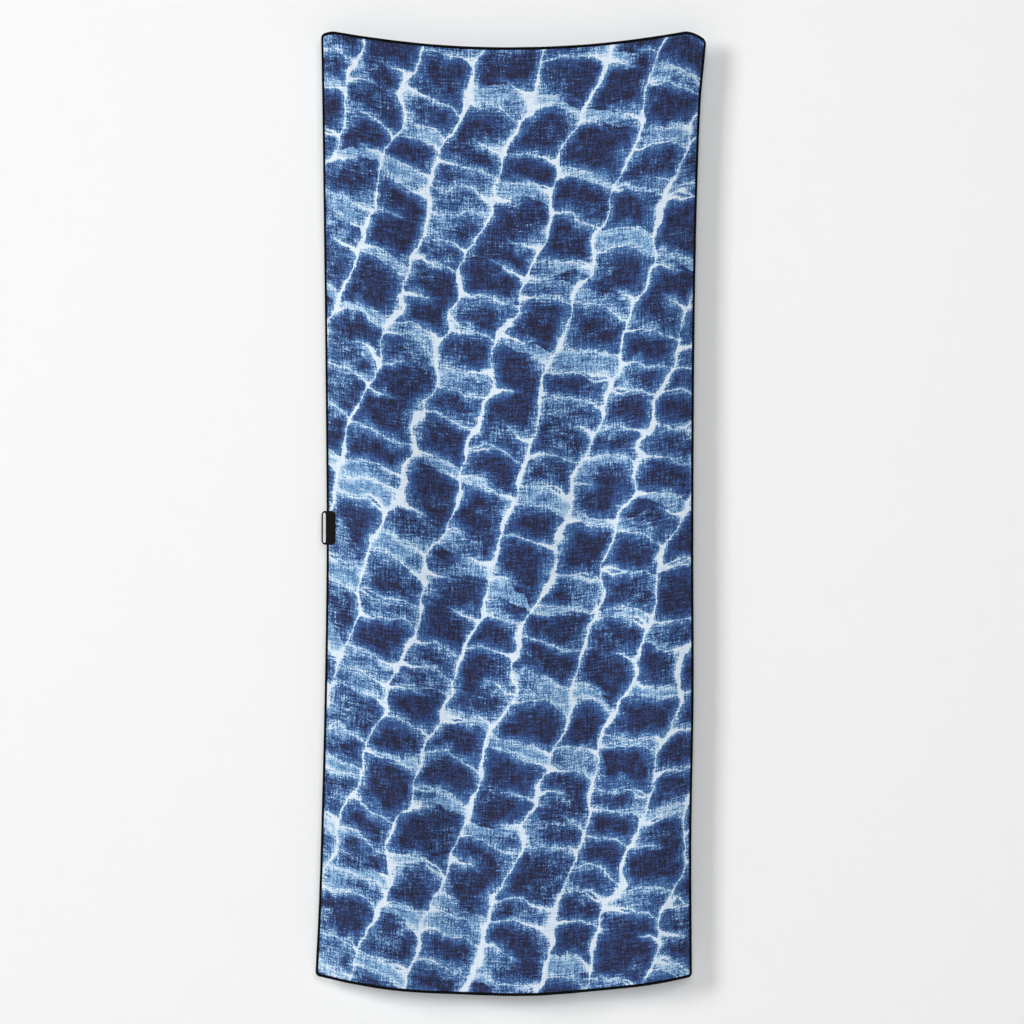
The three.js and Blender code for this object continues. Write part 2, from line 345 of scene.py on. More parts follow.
def grid_faces(rows, columns, close_rows=False, close_columns=False):
    """Quads of a grid, each from a vertex, the next in its row and the two below them. A closed
    side joins its last line to its first."""
    r = np.arange(rows if close_rows else rows - 1)[:, None]
    c = np.arange(columns if close_columns else columns - 1)[None, :]
    below = (r + 1) % rows
    right = (c + 1) % columns
    quads = [r * columns + c, below * columns + c, below * columns + right, r * columns + right]
    return np.stack(np.broadcast_arrays(*quads), axis=-1).reshape(-1, 4)


def mesh_object(name, points, faces, materials, face_material=None, uv_maps=()):
    """Object at the origin, its points given in millimetres and its faces as rows of indices. A UV
    map is a name and a pair for each face corner."""
    mesh = bpy.data.meshes.new(name)
    points = np.asarray(points, float).reshape(-1, 3) * MM
    corners = faces.shape[1]
    mesh.vertices.add(len(points))
    mesh.vertices.foreach_set("co", points.ravel())
    mesh.loops.add(faces.size)
    mesh.loops.foreach_set("vertex_index", faces.ravel().astype(np.int32))
    mesh.polygons.add(len(faces))
    mesh.polygons.foreach_set("loop_start", np.arange(len(faces), dtype=np.int32) * corners)
    for material in materials:
        mesh.materials.append(material)
    if face_material is not None:
        mesh.polygons.foreach_set("material_index", face_material.astype(np.int32))
    for map_name, pairs in uv_maps:
        layer = mesh.uv_layers.new(name=map_name)
        layer.data.foreach_set("uv", np.asarray(pairs, np.float32).ravel())
    mesh.update(calc_edges=True)
    mesh.validate()
    mesh.shade_smooth()
    piece = bpy.data.objects.new(name, mesh)
    bpy.context.scene.collection.objects.link(piece)
    return piece


def sewn_on(piece, node):
    """The piece rides on the root body and stands for a node of the frame, which is hidden."""
    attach(piece, "root")
    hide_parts(node)
    return piece


# Materials


def paint(red, green, blue):
    """A screen colour of 0 to 255 as the linear colour that a shader takes."""
    screen = np.array([red, green, blue]) / 255
    return tuple(np.where(screen <= 0.04045, screen / 12.92, ((screen + 0.055) / 1.055) ** 2.4))


def operation(kind, flip=False):
    """Method for one sign of arithmetic. Flipped, its two sides change places."""

    def apply(self, other):
        first, second = (other, self) if flip else (self, other)
        return self.graph.math(kind, first, second)

    return apply


class Field:
    """A value in a shader, which plain expressions add, multiply and compare."""

    def __init__(self, graph, socket):
        self.graph = graph
        self.socket = socket

    __add__ = operation("ADD")
    __radd__ = operation("ADD", True)
    __sub__ = operation("SUBTRACT")
    __rsub__ = operation("SUBTRACT", True)
    __mul__ = operation("MULTIPLY")
    __truediv__ = operation("DIVIDE")
    __pow__ = operation("POWER")
    __gt__ = operation("GREATER_THAN")
    __lt__ = operation("LESS_THAN")


class Graph:
    """Builds a node tree from expressions."""

    def __init__(self, tree):
        self.tree = tree

    def node(self, kind, **settings):
        """New node of a kind, with its settings."""
        made = self.tree.nodes.new("ShaderNode" + kind)
        for name, value in settings.items():
            setattr(made, name, value)
        return made

    def feed(self, socket, value):
        """Links a field to a socket, or sets a plain value on it."""
        if isinstance(value, Field):
            self.tree.links.new(value.socket, socket)
        else:
            socket.default_value = value

    def fed(self, made, values, output=0):
        """Feeds values to a node's inputs, in their order or by key, and gives one output."""
        pairs = values.items() if isinstance(values, dict) else enumerate(values)
        for key, value in pairs:
            self.feed(made.inputs[key], value)
        return Field(self, made.outputs[output])

    def math(self, kind, *values):
        """One step of arithmetic."""
        return self.fed(self.node("Math", operation=kind), values)

    def smooth(self, value, low, high, at_low=0.0, at_high=1.0):
        """Eases from at_low to at_high while the value goes from low to high."""
        made = self.node("MapRange", interpolation_type="SMOOTHSTEP")
        return self.fed(made, (value, low, high, at_low, at_high))

    def mix(self, share, first, second):
        """The first value at share nought, the second at one."""
        return self.fed(self.node("Mix", data_type="FLOAT"), {0: share, 2: first, 3: second})

    def tinted(self, share, colour, tint):
        """A colour with a share of a plain tint mixed in."""
        made = self.node("Mix", data_type="RGBA")
        return self.fed(made, {0: share, 6: colour, 7: (*tint, 1)}, 2)

    def vector(self, x, y):
        """Two values as a flat vector."""
        return self.fed(self.node("CombineXYZ"), (x, y))

    def parts(self, vector):
        """The three values of a vector or a colour."""
        made = self.node("SeparateXYZ")
        self.feed(made.inputs[0], vector)
        return [Field(self, socket) for socket in made.outputs]

    def noise(self, where, scale, detail, rough, output="Fac", space="2D"):
        """Layered noise from nought to one, or three of them as a colour."""
        made = self.node("TexNoise", noise_dimensions=space)
        given = {"Vector": where, "Scale": scale, "Detail": detail, "Roughness": rough}
        return self.fed(made, given, output)

    def chance(self, first, second):
        """Three chance values from nought to one, which two whole numbers settle."""
        made = self.node("TexWhiteNoise", noise_dimensions="2D")
        return self.parts(self.fed(made, {"Vector": self.vector(first, second)}, "Color"))

    def ramp(self, value, stops):
        """Colour of a value, between stops that are each a place and a screen colour."""
        made = self.node("ValToRGB")
        stop = made.color_ramp.elements
        stop.remove(stop[-1])
        stop[0].position = stops[0][0]
        stop[0].color = (*paint(*stops[0][1]), 1)
        for place, colour in stops[1:]:
            stop.new(place).color = (*paint(*colour), 1)
        return self.fed(made, (value,))


def node_group(name, inputs, outputs, build):
    """A shader node group with named inputs and, as outputs, named values. build takes the graph
    and the input fields, and gives back one field for each output."""
    tree = bpy.data.node_groups.new(name, "ShaderNodeTree")
    for label, kind, value in inputs:
        socket = tree.interface.new_socket(label, in_out="INPUT", socket_type=kind)
        socket.default_value = value
    for label in outputs:
        tree.interface.new_socket(label, in_out="OUTPUT", socket_type="NodeSocketFloat")
    graph = Graph(tree)
    source = tree.nodes.new("NodeGroupInput")
    target = tree.nodes.new("NodeGroupOutput")
    fields = [Field(graph, source.outputs[label]) for label, _, _ in inputs]
    for label, field in zip(outputs, build(graph, *fields)):
        graph.feed(target.inputs[label], field)
    return tree


def placed(graph, group, **values):
    """Places a node group and gives back its outputs as fields, by name."""
    made = graph.node("Group", node_tree=group)
    graph.fed(made, values)
    return {socket.name: Field(graph, socket) for socket in made.outputs}


# The print's lines, in metres. Main lines stand a pitch apart and lean. Cross lines stand a row
# apart between them, fall and bow, and are uneven by a share of a row.
PITCH = 0.121
LEAN = 0.34
ROW = 0.054
ROW_FALL = 0.030
ROW_BOW = 0.008
UNEVEN = 0.9
FIRST_LINE = 0.31
ROW_SHIFT = 0.37

# Noise that bends all lines: its scale, detail and roughness, and its reach across and down.
BENDS = (
    (7.5, 1.0, 0.5, 0.075, 0.055),
    (22.0, 1.5, 0.6, 0.020, 0.020),
    (170.0, 2.0, 0.7, 0.0040, 0.0040),
)

# Least and greatest half width of a main line, and the roundings where lines meet, between two
# cross lines and round a cell's middle.
MAIN_WIDTH = (0.0004, 0.0050)
LINE_ROUND = 0.012
ROW_ROUND = 0.020
CELL_ROUND = 0.026

# Cross lines of a kind below fades fade, above splits they open round an eye, and all swell to a
# wedge by chance. A chance value times COIN has a fraction that is as good as a fresh one.
CROSS = {"fades": 0.30, "splits": 0.80, "eye": 0.0045, "eye_at": 0.76}
WEDGE = 0.009
LEAST_WIDTH = 0.0002
FADED = {"line": 0.007, "cell": 0.030, "cover": 0.010}
COIN = 7.3

# Weave streaks are fine one way and long the other. GRAIN says how much each noise counts.
STREAK_FINE = 270.0
STREAK_LONG = 32.0
GRAIN = {"warp": 3.6, "weft": 4.0, "speck": 5.0}

# What makes the dye pale: a low cell, its side, its own chance and a drift over the cloth. The
# left edge is paler as a painted highlight, and the right side darker as painted shade. Blotches
# and grain break the wash up.
WASH = {"low": 0.60, "side": 0.34, "own": 0.30, "drift": 0.26, "left": 0.25, "right": 0.10}
BREAK_BLOTCH = 0.10
BREAK_GRAIN = 0.115

# How far dye fades beside a line, and how much each layer adds, in a deep and in a pale cell.
HALO = (0.0012, 0.0031)
DEEP = {"line": 0.435, "fill": 0.145, "core": 0.15, "heart": 0.17, "grain": 0.225, "blotch": 0.12}
PALE = {"line": 0.17, "fill": 0.12, "grain": 0.17, "blotch": 0.08}
STAIN = 0.11

# Screen colours of the dye, from the white of the lines to a core.
DYE_STOPS = (
    (0.00, (221, 230, 241)),
    (0.12, (181, 209, 231)),
    (0.26, (119, 165, 204)),
    (0.42, (69, 112, 166)),
    (0.60, (53, 80, 133)),
    (0.78, (47, 62, 106)),
    (0.90, (42, 48, 78)),
    (1.00, (38, 36, 51)),
)

# Inputs of the node groups: the place on the cloth and its knit.
PLAN = ("Plan", "NodeSocketVector", (0.0, 0.0, 0.0))
LOOPS = ("Loops per metre", "NodeSocketFloat", 800.0)

# The bloom in the cores, and how much of the print shows through to the back.
BLOOM_COLOUR = (50, 78, 142)
BLOOM = 0.5
SHOWS_THROUGH = 0.14


def about_zero(noise, reach):
    """A value from nought to one, moved to lie about zero and stretched."""
    return (noise - 0.5) * reach


def cross_line(g, gap, f, chance):
    """Distance to one cross line, from the plain gap to it, and how far the line has faded. By
    chance it fades to one side, swells to a wedge at the other, or opens round a small eye."""
    kind, girth, hand = chance
    toward = g.mix(g.math("FRACT", hand * COIN) > 0.5, 1 - f, f)
    from_eye = g.math("ABSOLUTE", toward - CROSS["eye_at"])
    eye = (kind > CROSS["splits"]) * g.smooth(from_eye, 0.02, 0.22, CROSS["eye"], 0.0)
    wedge = (toward**6.0) * girth * WEDGE - LEAST_WIDTH
    gone = (kind < CROSS["fades"]) * g.smooth(toward, 0.10, 0.75, 1.0, 0.0)
    return g.math("ABSOLUTE", gap - eye) - wedge + gone * FADED["line"], gone


def resist_lines(g, plan):
    """White lines between dyed cells: slanting main lines a pitch apart and uneven cross lines
    between them, all bent by noise. Gives the distance to the nearest line, a rounder distance
    that grows to the middle of a cell, the cell's height, its chance values, the place between
    its main lines, and how far inside the cell it is."""
    x, y, _ = g.parts(plan)
    for scale, detail, rough, reach_across, reach_down in BENDS:
        bend = g.parts(g.noise(plan, scale, detail, rough, output="Color"))
        x = x + about_zero(bend[0], reach_across)
        y = y + about_zero(bend[1], reach_down)
    column = (x + y * LEAN) * (1 / PITCH) + FIRST_LINE
    index = g.math("FLOOR", column)
    f = column - index
    swell = g.noise(plan, scale=14.0, detail=1.5, rough=0.5)
    to_main = g.math("MINIMUM", f, 1 - f) * PITCH - g.smooth(swell, 0.36, 0.74, *MAIN_WIDTH)
    row = (y - f * ROW_FALL + f * (1 - f) * (4 * ROW_BOW)) * (1 / ROW) + index * ROW_SHIFT
    start = g.math("FLOOR", row)
    early = row < start + about_zero(g.chance(start, index)[0], UNEVEN)
    late = row > start + 1 + about_zero(g.chance(start + 1, index)[0], UNEVEN)
    first = start - early + late
    upper = g.chance(first, index)
    lower = g.chance(first + 1, index)
    above = (row - first - about_zero(upper[0], UNEVEN)) * ROW
    below = (first + 1 + about_zero(lower[0], UNEVEN) - row) * ROW
    to_upper, upper_gone = cross_line(g, above, f, (upper[1], upper[2], upper[0]))
    to_lower, lower_gone = cross_line(g, below, f, (lower[1], lower[2], lower[0]))
    to_row = g.math("MINIMUM", to_upper, to_lower)
    to_line = g.math("SMOOTH_MIN", to_main, to_row, LINE_ROUND)

    def faded(share):
        """Both gaps, each moved by a share of how far its line has faded."""
        return above + upper_gone * share, below + lower_gone * share

    middle = g.math("SMOOTH_MIN", *faded(FADED["cell"]), ROW_ROUND)
    inward = g.math("SMOOTH_MIN", to_main, middle, CELL_ROUND)
    inside = g.smooth(g.math("MINIMUM", *faded(-FADED["cover"])), 0.0, 0.005)
    own = g.chance(first + 0.5, index)
    side = g.mix(own[2] > 0.5, f, 1 - f)
    return to_line, inward, above + below, own, side, inside


def added_up(recipe, layers):
    """The dye beside a line, plus each layer by its share in the recipe."""
    total = recipe["line"]
    for name, layer in layers.items():
        if name in recipe:
            total = total + layer * recipe[name]
    return total


def print_group():
    """The dye of the resist print, from nought where the cloth stays white to one in a dark core.
    It rises quickly beside a line and slowly on to the core, is pale in low cells and where a wash
    drifts over the cloth, and follows short streaks of the weave along and across."""

    def build(g, plan):
        across, down, _ = g.parts(plan)
        to_line, inward, height, own, side, inside = resist_lines(g, plan)
        streak = {"scale": 1.0, "detail": 3.0, "rough": 0.75}
        warp = g.noise(g.vector(across * STREAK_FINE, down * STREAK_LONG), **streak)
        weft = g.noise(g.vector(across * STREAK_LONG, down * STREAK_FINE), **streak)
        speck = g.noise(plan, scale=330.0, detail=2.0, rough=0.8)
        mottle = g.noise(plan, scale=38.0, detail=3.0, rough=0.65)
        drifting = g.noise(g.vector(across * 9.0, down * 17.0), scale=1.0, detail=2.0, rough=0.6)
        streaks = about_zero(warp, GRAIN["warp"]) + about_zero(weft, GRAIN["weft"])
        grain = streaks + about_zero(speck, GRAIN["speck"])
        blotch = about_zero(mottle, 3.0)
        drift = about_zero(drifting, 4.0)

        low = g.smooth(height, 0.026, 0.066, 1.0, 0.0)
        of_cell = low * WASH["low"] + about_zero(side, WASH["side"])
        of_cell = of_cell + about_zero(own[1], WASH["own"])
        # Painted highlight: the print is paler along the left edge. Painted shade: it is darker
        # over the right side.
        painted_light_left = g.smooth(across, 0.02, 0.12, WASH["left"], 0.0)
        painted_shade_right = g.smooth(across, 0.54, 0.72, 0.0, WASH["right"])
        pull = of_cell * inside + drift * WASH["drift"] + (painted_light_left - painted_shade_right)
        wash = g.smooth(pull - blotch * BREAK_BLOTCH - grain * BREAK_GRAIN, 0.03, 0.64)

        past = g.math("MAXIMUM", to_line + grain * 0.0009, 0.0)
        line = g.math("EXPONENT", (past * -1) / g.mix(wash, *HALO))
        from_rim = inward + blotch * 0.0030 + about_zero(own[0], 0.008)
        heart = g.smooth(inward + blotch * 0.0050, 0.011, 0.025)
        layers = {
            "fill": g.smooth(to_line, 0.0, 0.012),
            "core": g.smooth(from_rim, 0.005, 0.019),
            "heart": heart,
            "grain": grain,
            "blotch": blotch,
        }
        stain = g.smooth(grain + blotch * 0.5, -0.4, 1.4) * STAIN
        dye = g.mix(line, g.mix(wash, added_up(DEEP, layers), added_up(PALE, layers)), stain)
        return g.math("MAXIMUM", dye, 0.0), grain, layers["core"] * (1 - heart * 0.8)

    return node_group("Resist print", [PLAN], ("Dye", "Grain", "Bloom"), build)


def suede_group():
    """Fine relief of a brushed knit: ribs along and across, broken up by noise, and a soft nap."""

    def build(g, plan, loops_per_metre):
        across, down, _ = g.parts(plan)
        ribs = g.math("SINE", across * loops_per_metre * TURN)
        courses = g.math("SINE", down * loops_per_metre * TURN)
        nap = g.noise(plan, scale=900.0, detail=3.0, rough=0.7)
        pile = g.noise(plan, scale=60.0, detail=2.0, rough=0.5)
        return (ribs * courses * 0.18 + nap * 0.6 + pile * 0.5,)

    return node_group("Suede nap", [PLAN, LOOPS], ("Height",), build)


def new_material(name, **finish):
    """Material, its graph and its Principled shader, with plain values set on inputs by name."""
    material = bpy.data.materials.new(name)
    material.use_nodes = True
    graph = Graph(material.node_tree)
    shader = material.node_tree.nodes["Principled BSDF"]
    for label, value in finish.items():
        shader.inputs[label.replace("_", " ")].default_value = value
    return material, graph, shader


def bump(graph, shader, height, strength, distance):
    """Feeds a height to the shader's normal."""
    given = {"Strength": strength, "Distance": distance, "Height": height}
    graph.feed(shader.inputs["Normal"], graph.fed(graph.node("Bump"), given, "Normal"))


def microfibre(name, groups):
    """Brushed microfibre with its nap and a soft sheen, still without colour. Gives the material,
    its graph and shader, the place on the cloth from its UV map, and the print there."""
    finish = {"Sheen_Weight": 0.05, "Sheen_Roughness": 0.6, "Specular_IOR_Level": 0.1}
    material, g, shader = new_material(name, **finish)
    plan = Field(g, g.node("UVMap", uv_map="Plan").outputs[0])
    nap = placed(g, groups["suede"], Plan=plan)
    bump(g, shader, nap["Height"], strength=0.35, distance=0.0006)
    return material, g, shader, plan, placed(g, groups["print"], Plan=plan)


def printed_front(groups):
    """Printed side: the resist print, with a faint cobalt bloom in the cores."""
    material, g, shader, plan, printed = microfibre("printed_microfibre_front", groups)
    cloud = g.noise(plan, scale=60.0, detail=3.0, rough=0.7) - printed["Grain"] * 0.06
    bloom = g.smooth(cloud, 0.48, 0.64) * printed["Bloom"]
    dyed = g.ramp(printed["Dye"], DYE_STOPS)
    g.feed(shader.inputs["Base Color"], g.tinted(bloom * BLOOM, dyed, paint(*BLOOM_COLOUR)))
    g.feed(shader.inputs["Roughness"], 0.90 + printed["Grain"] * 0.08)
    return material


def pale_back(groups):
    """Unprinted side: near white, with the print showing through faintly."""
    material, g, shader, _, printed = microfibre("printed_microfibre_back", groups)
    g.feed(shader.inputs["Base Color"], g.ramp(printed["Dye"] * SHOWS_THROUGH, DYE_STOPS))
    g.feed(shader.inputs["Roughness"], 0.92 + printed["Grain"] * 0.06)
    return material


THREAD_STOPS = ((0.3, (3, 3, 4)), (0.75, (13, 13, 15)))
RUBBER_STOPS = ((0.1, (2, 2, 3)), (0.9, (18, 18, 20)))


def black_thread():
    """Matt black polyester thread: fine fuzz and a slow change of tone."""
    material, g, shader = new_material("black_thread", Sheen_Weight=0.01, Specular_IOR_Level=0.1)
    place = Field(g, g.node("TexCoord").outputs["Object"])
    fuzz = g.noise(place, scale=1400.0, detail=3.0, rough=0.7, space="3D")
    tone = g.noise(place, scale=90.0, detail=2.0, rough=0.5, space="3D")
    g.feed(shader.inputs["Base Color"], g.ramp(fuzz * 0.6 + tone * 0.4, THREAD_STOPS))
    g.feed(shader.inputs["Roughness"], 0.72 + fuzz * 0.25)
    bump(g, shader, fuzz, strength=0.5, distance=0.0003)
    return material


def moulded_rubber():
    """Satin black rubber: a fine moulded grain and a few paler scuffs."""
    material, g, shader = new_material("moulded_rubber", Specular_IOR_Level=0.12)
    place = Field(g, g.node("TexCoord").outputs["Object"])
    grain = g.noise(place, scale=2600.0, detail=2.0, rough=0.6, space="3D")
    cloud = g.noise(place, scale=240.0, detail=4.0, rough=0.75, space="3D")
    scuff = g.smooth(cloud, 0.60, 0.74)
    g.feed(shader.inputs["Base Color"], g.ramp(grain * 0.35 + scuff * 0.5, RUBBER_STOPS))
    g.feed(shader.inputs["Roughness"], 0.50 + grain * 0.2 + scuff * 0.15)
    bump(g, shader, grain, strength=0.3, distance=0.0002)
    return material


# The cloth and its sewn edge


def even_lines(length, step):
    """Grid lines from edge to edge: a few in each rounded corner and even steps between."""
    corner = np.linspace(0, CORNER, CORNER_LINES + 1)
    middle = np.linspace(CORNER, length - CORNER, int(round((length - 2 * CORNER) / step)) + 1)
    return np.concatenate([corner[:-1], middle, (length - corner[:-1])[::-1]])


def printed_cloth(front_material, back_material):
    """Closed thin sheet: the cloth's surface on a grid, moved half a thickness out of its front
    for one side and out of its back for the other, and joined round the rim."""
    columns = even_lines(WIDTH, GRID_STEPS[0])
    rows = even_lines(LENGTH, GRID_STEPS[1])
    across, down = rounded(*np.broadcast_arrays(columns[None, :], rows[:, None]))
    middle = cloth_point(across, down)
    front = cloth_frame(across, down)[2]
    points = np.concatenate([middle + front * THICKNESS / 2, middle - front * THICKNESS / 2])
    nr, nc = across.shape
    sheet = nr * nc
    face = grid_faces(nr, nc)
    index = np.arange(sheet).reshape(nr, nc)
    rim = np.concatenate([index[:-1, 0], index[-1, :-1], index[:0:-1, -1], index[0, :0:-1]])
    ahead = np.roll(rim, -1)
    band = np.stack([rim, rim + sheet, ahead + sheet, ahead], axis=-1)
    faces = np.concatenate([face, face[:, ::-1] + sheet, band])
    side = np.repeat([0, 1, 0], [len(face), len(face), len(band)])
    plan = np.stack([across, down], axis=-1).reshape(-1, 2)
    maps = [
        ("Plan", np.concatenate([plan, plan])[faces] * MM),
        ("OFBake", bake_places(plan, faces, band)),
    ]
    materials = [front_material, back_material]
    cloth = mesh_object("printed_cloth", points, faces, materials, side, maps)
    return sewn_on(cloth, "towel_cloth")


def bake_places(plan, faces, band):
    """Bake map for each face corner: the front on the left half, the back mirrored on the right
    half, and the rim's band as a narrow strip just outside the front."""
    u = plan[:, 0] / WIDTH * BAKE_ACROSS[1] + BAKE_ACROSS[0]
    v = BAKE_DOWN[0] - plan[:, 1] / LENGTH * BAKE_DOWN[1]
    front = np.stack([u, v], axis=-1)
    back = np.stack([1 - u, v], axis=-1)
    places = np.concatenate([front, back])[faces]
    on_front = band % len(plan)
    outward = np.sign(plan[on_front] - (WIDTH / 2, LENGTH / 2)) * (1, -1) * BAKE_RIM
    beside = np.isin(plan[:, 0], (0, WIDTH))[on_front]
    step_out = np.where(beside[..., None], outward * (1, 0), outward * (0, 1))
    places[-len(band) :] = front[on_front]
    places[-len(band) :, 1:3] += step_out[:, 1:3]
    return places


def rim_places(steps):
    """Places once round the rounded rim, evenly spaced, anticlockwise as seen from the front, with
    the way in from each: square to a straight side, or towards a corner's centre."""
    right, foot = WIDTH - CORNER, LENGTH - CORNER
    side, level, arc = foot - CORNER, right - CORNER, CORNER * np.pi / 2
    stretches = np.cumsum([0, side, arc, level, arc, side, arc, level, arc])
    place = np.asarray(steps) % 1.0 * stretches[-1]
    part = np.clip(np.searchsorted(stretches, place, side="right") - 1, 0, 7)
    local = place - stretches[part]
    corner = part // 2
    starts = np.array([(0, CORNER), (CORNER, LENGTH), (WIDTH, foot), (right, 0)])
    centre = np.array([(CORNER, foot), (right, foot), (right, CORNER), (CORNER, CORNER)])
    ahead = np.array([(0, 1), (1, 0), (0, -1), (-1, 0)])
    inward = np.array([(1, 0), (0, -1), (-1, 0), (0, 1)])
    angle = (local / CORNER)[:, None]
    turned_in = inward[corner] * np.cos(angle) - ahead[corner] * np.sin(angle)
    on_side = starts[corner] + ahead[corner] * local[:, None]
    on_arc = centre[corner] - turned_in * CORNER
    straight = (part % 2 == 0)[:, None]
    flat = np.where(straight, on_side, on_arc)
    return flat[:, 0], flat[:, 1], np.where(straight, inward[corner], turned_in)


def rim_frame(steps):
    """The cloth's edge at places round the rim, the inward direction along the cloth and its
    front."""
    across, down, way = rim_places(steps)
    edge = cloth_point(across, down)
    inside = cloth_point(across + RIM_REACH * way[:, 0], down + RIM_REACH * way[:, 1])
    return edge, (inside - edge) / RIM_REACH, cloth_frame(across, down)[2]


def flattened(wave):
    """A wave's size raised to a power below one, with its own sign."""
    return np.sign(wave) * abs(wave) ** EDGE["power"]


def edge_section(phase, grow=0.0):
    """Rounded oblong about the edge, from outside it to the needle line and off both faces:
    flattened cosine and sine of the phase, which goes once round it."""
    half = (EDGE["needle"] - EDGE["outside"]) / 2 + grow
    centre = (EDGE["needle"] + EDGE["outside"]) / 2
    stand = EDGE["stand"] + grow
    return centre + half * flattened(np.cos(phase)), stand * flattened(np.sin(phase))


def overlock_core(material):
    """Dense black edge under the thread: the section, a little smaller, carried round the rim."""
    steps = np.arange(CORE_STEPS) / CORE_STEPS
    edge, inward, front = rim_frame(steps)
    phase = -np.arange(CORE_SIDES) / CORE_SIDES * TURN
    along, out = (part[None, :, None] for part in edge_section(phase, -CORE_UNDER))
    points = edge[:, None] + inward[:, None] * along + front[:, None] * out
    faces = grid_faces(len(steps), len(phase), True, True)
    core = mesh_object("overlock_core", points, faces, [material])
    return sewn_on(core, "edge_binding")


def overlock_thread(material):
    """One thread wound round the edge: a helix on the section, with a small oval carried along
    it."""
    perimeter = 2 * (WIDTH + LENGTH) - 8 * CORNER + TURN * CORNER
    turns = int(round(perimeter / EDGE["pitch"]))
    count = np.arange(turns * THREAD_STEPS)
    phase = -count / THREAD_STEPS * TURN
    lean = EDGE["lean"] * np.cos(phase) / perimeter
    edge, inward, front = rim_frame((count / THREAD_STEPS / turns + lean) % 1.0)
    along, out = edge_section(phase)
    path = edge + inward * along[:, None] + front * out[:, None]
    outward = unit(inward * np.cos(phase)[:, None] + front * np.sin(phase)[:, None])
    tangent = unit(np.roll(path, -1, axis=0) - np.roll(path, 1, axis=0))
    outward = unit(outward - tangent * np.sum(outward * tangent, axis=1, keepdims=True))
    sideways = np.cross(tangent, outward)
    ring = ((np.arange(THREAD_SIDES) + 0.5) / THREAD_SIDES * TURN)[None, :, None]
    high = outward[:, None] * (THREAD_HIGH * np.cos(ring))
    wide = sideways[:, None] * (THREAD_WIDE * np.sin(ring))
    points = path[:, None] + high + wide
    faces = grid_faces(len(count), THREAD_SIDES, True, True)[:, ::-1]
    thread = mesh_object("overlock_thread", points, faces, [material])
    return sewn_on(thread, "edge_binding")


# The hanging tab


def tab_frame():
    """Where the tab sits: its zero point on the cloth's edge, and its right, up and front
    directions."""
    seat = (TAB_FOOT[0] + TAB_FOOT[1]) / 2
    place = (np.array([seat]), np.array([TAB_DOWN]))
    _, upward, front = cloth_frame(*place)
    rightward = np.cross(upward, front)
    return (cloth_point(*place) - rightward * seat)[0], rightward[0], upward[0], front[0]


def on_tab(x, y, z):
    """Points of the tab's own right, up and front distances, in the frame."""
    origin, rightward, upward, front = tab_frame()
    x, y, z = np.broadcast_arrays(x, y, z)
    return origin + x[..., None] * rightward + y[..., None] * upward + z[..., None] * front


def stadium(low, high, height, count):
    """Outline with half-round ends, anticlockwise from its right side: the point on its spine that
    each outline point belongs to, and the unit direction out from it."""
    radius = (high - low) / 2
    straight = height / 2 - radius
    quarter = count // 4
    rise = np.linspace(-straight, straight, quarter, endpoint=False)
    bend = np.linspace(0, np.pi, quarter, endpoint=False)
    still = np.ones(quarter)
    spine_y = np.concatenate([rise, straight * still, -rise, -straight * still])
    angle = np.concatenate([0 * still, bend, np.pi * still, bend + np.pi])
    spine = np.stack([np.full(len(angle), (low + high) / 2), spine_y], axis=-1)
    return spine, np.stack([np.cos(angle), np.sin(angle)], axis=-1), radius


def out_from(spine, way, away):
    """Right and up places, this far out from the spine."""
    return spine[:, :1] + way[:, :1] * away, spine[:, 1:] + way[:, 1:] * away


def reach_to(outline, start, way):
    """Distance from start along way to a rectangle with rounded corners: to its side or its end
    where that is met between the corners, and else to the circle of a corner."""
    low, high, height, radius = outline
    straight = height / 2 - radius
    side = np.where(way[:, 0] > 0, high, low)
    end = np.copysign(height / 2, start[:, 1])
    way_x = np.where(abs(way[:, 0]) > TINY, way[:, 0], TINY)
    way_y = np.where(abs(way[:, 1]) > TINY, way[:, 1], np.copysign(TINY, end))
    to_side = (side - start[:, 0]) / way_x
    to_end = (end - start[:, 1]) / way_y
    at_side = start[:, 1] + way[:, 1] * to_side
    at_end = start[:, 0] + way[:, 0] * to_end
    corner_x = np.where(at_end < low + radius, low + radius, high - radius)
    off = start - np.stack([corner_x, np.copysign(straight, end)], axis=-1)
    b = np.sum(off * way, axis=1)
    to_corner = -b + np.sqrt(np.maximum(b * b - np.sum(off * off, axis=1) + radius**2, 0))
    met_end = (at_end >= low + radius) & (at_end <= high - radius)
    return np.where(abs(at_side) <= straight, to_side, np.where(met_end, to_end, to_corner))


def field_distance(x, y):
    """Distance from the sunken field's outline, below zero inside it."""
    low, high, height = TAB_FIELD
    radius = (high - low) / 2
    straight = height / 2 - radius
    past = np.maximum(abs(y) - straight, 0)
    return np.hypot(x - (low + high) / 2, past) - radius


